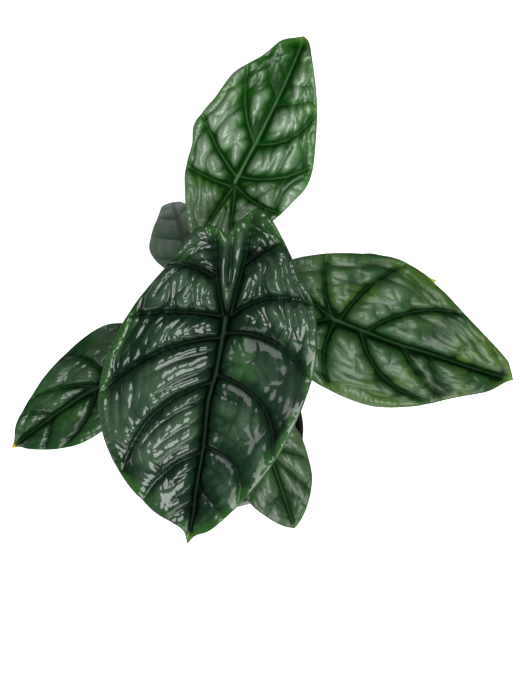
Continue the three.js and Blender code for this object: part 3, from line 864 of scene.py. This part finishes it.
def stalk_finish():
    """A smooth, finely streaked green stalk, dull brown purple at its foot and paler towards the blade."""
    f = Finish("leaf stalk")
    along = f.stored("along")
    streaks = f.clouds(0.0012, 3.0, place=f.stretched((1, 1, 0.08)))
    bands = f.clouds(0.012, 3.0, 0.7)
    green = f.mix(streaks.between(0.3, 0.7), (0.045, 0.09, 0.025), (0.075, 0.135, 0.04))
    foot = f.mix(bands.between(0.35, 0.65), (0.05, 0.022, 0.02), (0.07, 0.075, 0.03))
    colour = f.mix((along + bands * 0.3).between(0.12, 0.5), foot, green)
    colour = f.mix(along.between(0.9, 1.0), colour, (0.11, 0.17, 0.07))
    relief = streaks * 0.6 + f.clouds(0.003) * 0.4
    return f.surface(Base_Color=colour, Roughness=bands * 0.15 + 0.36, Normal=f.bump(relief, 0.0002, 0.5))


def stalk_recipe(finish):
    """A tube round a line: a clasping foot that narrows quickly, then a slow taper to the blade."""
    r = Recipe("stalk", foot_radius=0.004, blade_radius=0.0025, clasp=0.6, sides=28, finish=finish)
    curve = r.node("GeometryNodeMeshToCurve", {}, {"Mesh": r.given("Start")})
    curve = r.node("GeometryNodeResampleCurve", {}, {"Curve": curve, "Count": 72})
    along = r.node("GeometryNodeSplineParameter", {}, {}, "Factor")
    curve = r.keep(curve, "POINT", "along", along)
    foot, end = r.given("foot_radius"), r.given("blade_radius")
    thick = foot + along * (end - foot) + foot * r.given("clasp") * (1 - along) ** 14
    sockets = {"Resolution": r.given("sides"), "Radius": 1.0}
    round_line = r.node("GeometryNodeCurvePrimitiveCircle", {}, sockets)
    sockets = {"Curve": curve, "Profile Curve": round_line, "Scale": thick, "Fill Caps": True}
    r.grows(r.node("GeometryNodeCurveToMesh", {}, sockets))
    return r


def line_mesh(name, points):
    mesh = bpy.data.meshes.new(name)
    steps = [(i, i + 1) for i in range(len(points) - 1)]
    mesh.from_pydata([[c * MM for c in p] for p in points], steps, [])
    return mesh


stalks = stalk_recipe(stalk_finish())
for name, leaf in LEAVES.items():
    foot_radius = leaf["stalk_radius"] * MM
    stalk = stalks.grow(
        "stalk_" + name, line_mesh("stalk_line_" + name, stalk_line(leaf)),
        foot_radius=foot_radius, blade_radius=foot_radius * STALK_TAPER)
    stands_for(stalk, "stalk", "petiole_" + name)

# Pot.

POT_HEIGHT = 100
POT_RIM_RADIUS = 60
POT_BASE_RADIUS = 45
POT_WALL = 1.6
LIP_HEIGHT = 11
LIP_STEP = 1.8
FLOOR_TOP = 4.4
FOOT_HEIGHT = 2.4
DRAIN_COUNT = 6
DRAIN_RADIUS = 4
DRAIN_CIRCLE_RADIUS = 26
DISC_RADIUS = 13  # of the flat middle that the pot also stands on
RING_RADIUS = 39  # where the ring that it stands on starts
CORNER_POINTS = 5


def wall_radius(height):
    return POT_BASE_RADIUS + (POT_RIM_RADIUS - LIP_STEP - POT_BASE_RADIUS) * height / POT_HEIGHT


def rounded(profile, radius):
    """A profile with each inner corner turned into a small bow."""
    bent = [profile[0]]
    for a, b, c in zip(profile, profile[1:], profile[2:]):
        a, b, c = Vector(a), Vector(b), Vector(c)
        cut = min(radius, 0.45 * (a - b).length, 0.45 * (c - b).length)
        start = b + (a - b).normalized() * cut
        end = b + (c - b).normalized() * cut
        for t in np.linspace(0, 1, CORNER_POINTS):
            bent.append(tuple((1 - t) ** 2 * start + 2 * t * (1 - t) * b + t * t * end))
    return [*bent, profile[-1]]


def subdivided(profile, longest):
    """A profile with points added so that no step is longer than longest."""
    fine = [profile[0]]
    for a, b in zip(profile, profile[1:]):
        count = max(1, math.ceil(math.dist(a, b) / longest))
        fine += [tuple(np.array(a) + (np.array(b) - a) * (k + 1) / count) for k in range(count)]
    return fine


def revolved(name, profile, sides, centre=(0, 0)):
    """A closed solid from a profile of (radius, height) points in millimetres, from the axis back to it."""
    shell = bmesh.new()
    rings = []
    for radius, height in profile:
        if radius < 1e-6:
            rings.append([shell.verts.new((centre[0] * MM, centre[1] * MM, height * MM))])
            continue
        angles = [2 * math.pi * k / sides for k in range(sides)]
        ring = []
        for a in angles:
            spot = (centre[0] + radius * math.cos(a), centre[1] + radius * math.sin(a), height)
            ring.append(shell.verts.new([c * MM for c in spot]))
        rings.append(ring)
    for low, high in zip(rings, rings[1:]):
        for k in range(sides):
            n = (k + 1) % sides
            if len(low) == 1:
                shell.faces.new((low[0], high[n], high[k]))
            elif len(high) == 1:
                shell.faces.new((low[k], low[n], high[0]))
            else:
                shell.faces.new((low[k], low[n], high[n], high[k]))
    bmesh.ops.recalc_face_normals(shell, faces=shell.faces)
    mesh = bpy.data.meshes.new(name)
    shell.to_mesh(mesh)
    shell.free()
    mesh.shade_smooth()
    return mesh


def pot_finish():
    """Dark grey moulded plastic: a fine flow grain, faint rings from the mould, films of dust and scuffs."""
    f = Finish("pot plastic")
    grain = f.clouds(0.0008, 3.0, 0.6)
    flow = f.clouds(0.004, 3.0, 0.6, place=f.stretched((1, 1, 0.25)))
    rings = f.clouds(0.0016, 2.0, place=f.stretched((0.03, 0.03, 1)))
    dust = f.clouds(0.02, 5.0, 0.65).between(0.5, 0.8)
    scuffs = f.clouds(0.003, 4.0, 0.8, place=f.stretched((1, 1, 0.12), (0.3, 0.1, 0))).between(0.66, 0.74)
    colour = f.mix(flow, (0.010, 0.009, 0.010), (0.017, 0.015, 0.016))
    colour = f.mix(dust * 0.35, colour, (0.045, 0.039, 0.033))
    colour = f.mix(scuffs * 0.4, colour, (0.05, 0.05, 0.053))
    relief = grain * 0.5 + rings * 0.35 + scuffs * 0.3
    return f.surface(
        Base_Color=colour,
        Roughness=(dust * 0.15 + grain * 0.1 + scuffs * 0.08 + 0.42).held(),
        Specular_IOR_Level=0.2,
        Normal=f.bump(relief, 0.00025, 0.5),
    )


def make_pot():
    """A round pot that stands on a ring and a disc, with a stepped lip and a circle of drain holes."""
    lip_foot = POT_HEIGHT - LIP_HEIGHT
    outside = [
        (0, 0), (DISC_RADIUS, 0), (DISC_RADIUS + 1, FOOT_HEIGHT), (RING_RADIUS - 1, FOOT_HEIGHT),
        (RING_RADIUS, 0), (POT_BASE_RADIUS - 1, 0), (wall_radius(1.5), 1.5),
        (wall_radius(lip_foot), lip_foot), (59.6, 90), (POT_RIM_RADIUS, 99), (59.2, POT_HEIGHT),
    ]
    inside = [
        (wall_radius(POT_HEIGHT) - POT_WALL, 99.4), (wall_radius(FLOOR_TOP) - POT_WALL, FLOOR_TOP),
        (0, FLOOR_TOP),
    ]
    profile = outside + inside
    mesh = revolved("nursery_pot", subdivided(rounded(profile, 0.7), 12), 144)
    pot = piece("nursery_pot", mesh, pot_finish())
    drills = bmesh.new()
    for k in range(DRAIN_COUNT):
        a = 2 * math.pi * k / DRAIN_COUNT
        x, y = DRAIN_CIRCLE_RADIUS * math.cos(a) * MM, DRAIN_CIRCLE_RADIUS * math.sin(a) * MM
        place = Matrix.Translation((x, y, FLOOR_TOP / 2 * MM))
        size = {"radius1": DRAIN_RADIUS * MM, "radius2": DRAIN_RADIUS * MM, "depth": 2.5 * FLOOR_TOP * MM}
        bmesh.ops.create_cone(drills, cap_ends=True, segments=40, matrix=place, **size)
    cutter_mesh = bpy.data.meshes.new("drills")
    drills.to_mesh(cutter_mesh)
    drills.free()
    cutter = bpy.data.objects.new("drills", cutter_mesh)
    bpy.context.scene.collection.objects.link(cutter)
    cut = pot.modifiers.new("drain holes", "BOOLEAN")
    cut.operation = "DIFFERENCE"
    cut.solver = "EXACT"
    cut.object = cutter
    bake(pot)
    bpy.data.objects.remove(cutter)
    pot.data.set_sharp_from_angle(angle=math.radians(40))
    stands_for(pot, "pot_plastic", "pot")


make_pot()

# Potting mix.

SOIL_FOOT_HEIGHT = 4.7
SOIL_EDGE_HEIGHT = 86
SOIL_TOP_HEIGHT = 91
SOIL_GAP = 0.3


def soil_finish():
    """Dark, moist peat: crumbs from nearly black to brown, dull with damp glints."""
    f = Finish("potting mix")
    crumbs = f.cells(0.0028, "F1", place=f.warped(0.004, 0.002))
    fine = f.clouds(0.0011, 5.0, 0.7)
    moist = f.clouds(0.014, 3.0)
    colour = f.mix(fine.between(0.3, 0.75), (0.008, 0.005, 0.004), (0.05, 0.03, 0.02))
    colour = f.mix(moist.between(0.4, 0.7) * 0.6, colour, (0.012, 0.008, 0.006))
    relief = (1 - crumbs) * 0.7 + fine * 0.8
    return f.surface(Base_Color=colour, Roughness=0.95 - moist * 0.35, Normal=f.bump(relief, 0.0012, 0.9))


def litter_finish(name, low, high, rough):
    """Small bits whose colour differs from one to the next."""
    f = Finish(name)
    tone = f.stored("tone")
    grain = f.clouds(0.0012, 4.0, 0.7, place=f.stretched((1, 1, 0.3), (0.5, 0.2, 0)))
    colour = f.shaded(grain * 0.8 + 0.55, f.mix(tone, low, high))
    return f.surface(Base_Color=colour, Roughness=rough, Normal=f.bump(grain, 0.0006, 0.8))


def top_spots(r):
    """Random spots on the part of a mesh that is higher than floor_height."""
    here = r.node("GeometryNodeInputPosition", {}, {})
    height = r.node("ShaderNodeSeparateXYZ", {}, {"Vector": here}, "Z")
    sockets = {
        "Mesh": r.given("Start"),
        "Selection": height.math("GREATER_THAN", r.given("floor_height")),
        "Density": r.given("density"),
        "Seed": r.given("seed"),
    }
    return r.node("GeometryNodeDistributePointsOnFaces", {"distribute_method": "RANDOM"}, sockets, "Points")


def strew(r, bit, lean, least, most):
    """Copies of a bit on the spots, each turned, stretched between least and most, and given its own tone."""
    vectors = {"data_type": "FLOAT_VECTOR"}
    sockets = {0: (-lean, -lean, 0.0), 1: (lean, lean, 6.3), "Seed": r.given("seed")}
    turn = r.node("FunctionNodeRandomValue", vectors, sockets)
    grow = r.node("FunctionNodeRandomValue", vectors, {0: least, 1: most, "Seed": r.given("seed") + 1})
    sockets = {"Points": top_spots(r), "Instance": bit, "Rotation": turn, "Scale": grow}
    bits = r.node("GeometryNodeInstanceOnPoints", {}, sockets)
    tone = r.node("FunctionNodeRandomValue", {"data_type": "FLOAT"}, {"Seed": r.given("seed") + 2}, 1)
    r.grows(r.keep(bits, "INSTANCE", "tone", tone))
    return r


def litter_recipe(finish):
    """Chips strewn over the top of the heap: lumps squeezed flat and turned at random."""
    r = Recipe(
        "litter",
        density=60000.0, size=0.002, slim=0.35, length=1.6, seed=3, floor_height=0.083, finish=finish)
    here = r.node("GeometryNodeInputPosition", {}, {})
    lump = r.node("GeometryNodeMeshIcoSphere", {}, {"Radius": r.given("size"), "Subdivisions": 2})
    swirl = r.node("ShaderNodeTexNoise", {}, {"Vector": here, "Scale": 420.0, "Detail": 2.0}, "Color")
    knock = r.node("ShaderNodeVectorMath", {"operation": "SUBTRACT"}, {0: swirl, 1: (0.5, 0.5, 0.5)})
    reach = r.given("size") * 1.5
    knock = r.node("ShaderNodeVectorMath", {"operation": "SCALE"}, {0: knock, "Scale": reach})
    lump = r.node("GeometryNodeSetPosition", {}, {"Geometry": lump, "Offset": knock})
    shape = r.node("ShaderNodeCombineXYZ", {}, {"X": r.given("length"), "Y": 1.0, "Z": r.given("slim")})
    lump = r.node("GeometryNodeTransform", {}, {"Geometry": lump, "Scale": shape})
    return strew(r, lump, 0.6, (0.4, 0.4, 0.4), (1.3, 1.3, 1.3))


def fibre_recipe(finish):
    """Short bowed threads strewn over the heap."""
    r = Recipe(
        "fibres", density=9000.0, length=0.009, radius=0.00018, seed=5, floor_height=0.083, finish=finish)
    half = r.given("length") * 0.5
    ends = [r.node("ShaderNodeCombineXYZ", {}, {"X": side * half, "Z": 0.0}) for side in (-1, 1)]
    middle = r.node("ShaderNodeCombineXYZ", {}, {"Y": half * 0.7, "Z": half * 0.5})
    sockets = {"Resolution": 6, "Start": ends[0], "Middle": middle, "End": ends[1]}
    thread = r.node("GeometryNodeCurveQuadraticBezier", {}, sockets)
    sockets = {"Resolution": 4, "Radius": r.given("radius")}
    round_line = r.node("GeometryNodeCurvePrimitiveCircle", {}, sockets)
    sockets = {"Curve": thread, "Profile Curve": round_line, "Fill Caps": True}
    thread = r.node("GeometryNodeCurveToMesh", {}, sockets)
    return strew(r, thread, 0.3, (0.4, 0.4, 0.8), (1.3, 1.3, 1.2))


def make_mix():
    """The heap of potting mix, lumpy on top, with its litter."""

    def inner(height):
        return wall_radius(height) - POT_WALL - SOIL_GAP

    profile = [
        (0, SOIL_FOOT_HEIGHT), (inner(SOIL_FOOT_HEIGHT), SOIL_FOOT_HEIGHT),
        (inner(SOIL_EDGE_HEIGHT), SOIL_EDGE_HEIGHT), (44, 87.6), (30, 89.6), (16, 90.8), (0, SOIL_TOP_HEIGHT),
    ]
    mesh = revolved("potting_heap", subdivided(profile, 1.6)[:-1] + [(0, SOIL_TOP_HEIGHT)], 160)
    smooth_edge = inner(SOIL_EDGE_HEIGHT) - 0.5
    for v in mesh.vertices:
        spot = v.co * 1000
        if spot.z > SOIL_EDGE_HEIGHT - 1 and math.hypot(spot.x, spot.y) < smooth_edge:
            lumps = 1.1 * noise.noise(spot / 9) + 0.9 * noise.noise(spot / 3.5)
            v.co.z += (lumps + 0.5 * noise.noise(spot / 1.6)) * MM
    heap = piece("potting_heap", mesh, soil_finish())
    stands_for(heap, "potting_mix", "potting_mix")
    bark = litter_finish("bark chips", (0.02, 0.01, 0.006), (0.11, 0.06, 0.035), 0.75)
    grit = litter_finish("pumice grit", (0.16, 0.13, 0.1), (0.4, 0.36, 0.3), 0.85)
    coir = litter_finish("coir threads", (0.05, 0.028, 0.015), (0.18, 0.11, 0.06), 0.8)
    crumbs = litter_finish("peat crumbs", (0.008, 0.005, 0.004), (0.035, 0.02, 0.014), 0.95)
    chips = litter_recipe(bark)
    strewn = [
        chips.grow("bark_chips", mesh.copy(), density=42000.0, size=0.0021, slim=0.3, length=1.8, seed=3),
        chips.grow(
            "peat_crumbs", mesh.copy(),
            density=110000.0, size=0.0011, slim=0.8, length=1.1, seed=14, finish=crumbs),
        chips.grow(
            "pumice_grit", mesh.copy(),
            density=2600.0, size=0.0013, slim=0.8, length=1.2, seed=8, finish=grit),
        fibre_recipe(coir).grow("coir_threads", mesh.copy()),
    ]
    for bits in strewn:
        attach(bits, "root")


make_mix()

# Stem and the dry sheaths at its foot.

STEM_FOOT_HEIGHT = 58
STEM_TOP_HEIGHT = 106
STEM_RADIUS = 10.5
# (share of the height, share of the radius)
STEM_PROFILE = [(0.02, 0.55), (0.2, 1), (0.45, 1.12), (0.72, 1), (0.9, 0.78), (0.98, 0.4)]
SCAR_SPACING = 3.2
# facing is a sheath's direction, reach how far it goes round the stem to each side, inner its radius.
SHEATHS = [
    {"name": "outer", "facing": 232, "reach": 75, "inner": 17, "top": 112},
    {"name": "inner", "facing": 20, "reach": 62, "inner": 16, "top": 104},
]
SHEATH_FOOT_HEIGHT = 88
SHEATH_LEAN = 3
SHEATH_NARROWING = 0.85
SHEATH_THICKNESS = 0.5


def stem_finish():
    """A short corky stem: brown rings left by old leaves over greenish flesh."""
    f = Finish("stem skin")
    rings = f.clouds(0.0022, 3.0, place=f.stretched((0.15, 0.15, 1)))
    cork = f.clouds(0.0015, 5.0, 0.7)
    colour = f.mix(rings.between(0.35, 0.65), (0.045, 0.03, 0.02), (0.1, 0.085, 0.045))
    colour = f.shaded(cork * 0.9 + 0.5, colour)
    return f.surface(Base_Color=colour, Roughness=0.75, Normal=f.bump(rings * 0.6 + cork * 0.7, 0.0006, 0.8))


def sheath_finish():
    """Dry papery leaf base: tan and brown, with fine lengthwise fibres and a darker torn edge."""
    f = Finish("dry sheath")
    fibres = f.clouds(0.0007, 4.0, 0.65, place=f.stretched((1, 1, 0.06)))
    stains = f.clouds(0.009, 4.0, 0.6)
    edge = f.stored("edge")
    colour = f.mix(fibres.between(0.3, 0.7), (0.13, 0.075, 0.04), (0.3, 0.2, 0.11))
    colour = f.mix(stains.between(0.45, 0.7) * 0.7, colour, (0.09, 0.05, 0.03))
    colour = f.mix(edge.between(0.75, 1.0) * 0.8, colour, (0.05, 0.03, 0.02))
    return f.surface(Base_Color=colour, Roughness=0.7, Normal=f.bump(fibres, 0.0004, 0.8))


def make_stem():
    """A short ringed stem, swollen in the middle and a little knobbly."""
    tall = STEM_TOP_HEIGHT - STEM_FOOT_HEIGHT
    shares = [(0, 0)] + [(w, h) for h, w in STEM_PROFILE] + [(0, 1)]
    profile = [(w * STEM_RADIUS, STEM_FOOT_HEIGHT + h * tall) for w, h in shares]
    ringed = []
    for radius, height in subdivided(rounded(profile, 3), 0.7):
        ring = 0.35 * abs(math.sin(math.pi * height / SCAR_SPACING)) if radius > 1 else 0
        ringed.append((max(radius - ring, 0), height))
    mesh = revolved("ringed_stem", ringed, 64, (STEM_X, STEM_Y))
    for v in mesh.vertices:
        spot = v.co * 1000
        out = Vector((v.co.x, v.co.y - STEM_Y * MM, 0)).normalized()
        v.co += out * (0.4 * noise.noise(spot / 4) + 0.2 * noise.noise(spot / 1.5) - 0.3) * MM
    stands_for(piece("ringed_stem", mesh, stem_finish()), "stem", "stem")


def make_sheath(sheath, finish):
    """A thin curved sheet round the stem that narrows to a ragged point and leans out."""
    columns, rows = 56, 40
    half = math.radians(sheath["reach"])
    tall = sheath["top"] - SHEATH_FOOT_HEIGHT
    points = []
    edges = []
    for i in range(rows + 1):
        for j in range(columns + 1):
            across = 2 * j / columns - 1
            torn = 0.035 * noise.noise(Vector((across * 6, sheath["facing"], 0)))
            share = i / rows * (1 - 0.1 * across * across) + torn * i / rows
            share = min(max(share, 0), 0.985)
            crinkle = 0.45 * noise.noise(Vector((across * 9, share * 3, sheath["facing"])))
            radius = sheath["inner"] + SHEATH_LEAN * share**2 + crinkle + 0.35
            spread = across * half * (1 - SHEATH_NARROWING * share**2)
            a = spread + math.radians(sheath["facing"])
            x, y = STEM_X + radius * math.cos(a), STEM_Y + radius * math.sin(a)
            points.append([c * MM for c in (x, y, SHEATH_FOOT_HEIGHT + share * tall)])
            edges.append(max(abs(across), i / rows))
    wide = columns + 1
    firsts = [i * wide + j for i in range(rows) for j in range(columns)]
    quads = [(k, k + 1, k + wide + 1, k + wide) for k in firsts]
    mesh = bpy.data.meshes.new("dry_" + sheath["name"])
    mesh.from_pydata(points, [], quads)
    store(mesh, "edge", edges)
    mesh.shade_smooth()
    made = piece("papery_" + sheath["name"], mesh, finish)
    wall = made.modifiers.new("paper", "SOLIDIFY")
    wall.thickness = SHEATH_THICKNESS * MM
    wall.offset = 0
    bake(made)
    stands_for(made, "dry_sheath", "sheath_" + sheath["name"])


make_stem()
dry = sheath_finish()
for sheath in SHEATHS:
    make_sheath(sheath, dry)

# Studio.

CAMERA_PLACE = (0.02742, -0.34051, 1.61344)
CAMERA_ELEVATION = 75  # it looks steeply down at the plant, from in front
CAMERA_LENS = 100.3
SKY_DIM = 0.06
SKY_PALE = 0.85  # where it is seen directly, behind the plant
SKY_GLOWS = [((268, 62), (8, 30), 0.42)]  # (azimuth, elevation), (full within, none beyond), power


def make_camera():
    camera = bpy.data.cameras.new("camera")
    camera.lens = CAMERA_LENS
    camera.clip_end = 20
    made = bpy.data.objects.new("camera", camera)
    made.location = CAMERA_PLACE
    made.rotation_euler = (math.radians(90 - CAMERA_ELEVATION), 0, 0)
    bpy.context.scene.collection.objects.link(made)
    bpy.context.scene.camera = made


def softbox(name, azimuth, elevation, distance, size, watts, mirrored=True):
    """A rectangular lamp that faces the plant's middle, and shows in glossy faces if mirrored."""
    light = bpy.data.lights.new(name, "AREA")
    light.shape = "RECTANGLE"
    light.size, light.size_y = size
    light.energy = watts
    made = bpy.data.objects.new(name, light)
    a, e = math.radians(azimuth), math.radians(elevation)
    out = Vector((math.cos(a) * math.cos(e), math.sin(a) * math.cos(e), math.sin(e)))
    made.location = Vector((0, 0, 0.2)) + distance * out
    made.rotation_euler = out.to_track_quat("Z", "Y").to_euler()
    made.visible_glossy = mirrored
    bpy.context.scene.collection.objects.link(made)


def make_floor():
    mesh = bpy.data.meshes.new("floor")
    half = 6.0
    corners = [(-half, -half, 0), (half, -half, 0), (half, half, 0), (-half, half, 0)]
    mesh.from_pydata(corners, [], [(0, 1, 2, 3)])
    f = Finish("pale floor")
    pale = f.mix(f.clouds(0.2), (0.88, 0.88, 0.88), (0.92, 0.92, 0.92))
    lit = {"Emission_Color": (1, 1, 1, 1), "Emission_Strength": 0.45}
    piece("floor", mesh, f.surface(Base_Color=pale, Roughness=0.8, **lit))


def make_sky():
    """Dim surroundings with a broad soft glow overhead, as under a large diffuser."""
    world = bpy.data.worlds.new("studio")
    world.use_nodes = True
    n = Nodes(world.node_tree)
    n.tree.nodes.clear()
    way = n.node("ShaderNodeTexCoord", {}, {}, "Generated")
    glow = 0
    for (azimuth, elevation), (narrow, wide), power in SKY_GLOWS:
        a, e = math.radians(azimuth), math.radians(elevation)
        axis = (math.cos(a) * math.cos(e), math.sin(a) * math.cos(e), math.sin(e))
        near = n.node("ShaderNodeVectorMath", {"operation": "DOT_PRODUCT"}, {0: way, 1: axis}, "Value")
        glow = glow + near.between(math.cos(math.radians(wide)), math.cos(math.radians(narrow))) * power
    seen = n.node("ShaderNodeLightPath", {}, {}, "Is Camera Ray")
    strength = glow + SKY_DIM + seen * SKY_PALE
    shine = n.node("ShaderNodeBackground", {}, {"Color": (0.95, 0.98, 1.0, 1), "Strength": strength})
    n.node("ShaderNodeOutputWorld", {}, {"Surface": shine})
    bpy.context.scene.world = world


make_camera()
make_floor()
make_sky()
softbox("front_softbox", 284, 40, 1.8, (1.1, 1.05), 25)
softbox("lobe_box", 90, 88, 1.8, (1.0, 0.7), 14)
softbox("ceiling", 90, 84, 3.5, (2.4, 2.4), 50, mirrored=False)
softbox("front_fill", 275, 45, 3.5, (2.4, 2.4), 118, mirrored=False)
bpy.context.scene.view_settings.view_transform = "Standard"
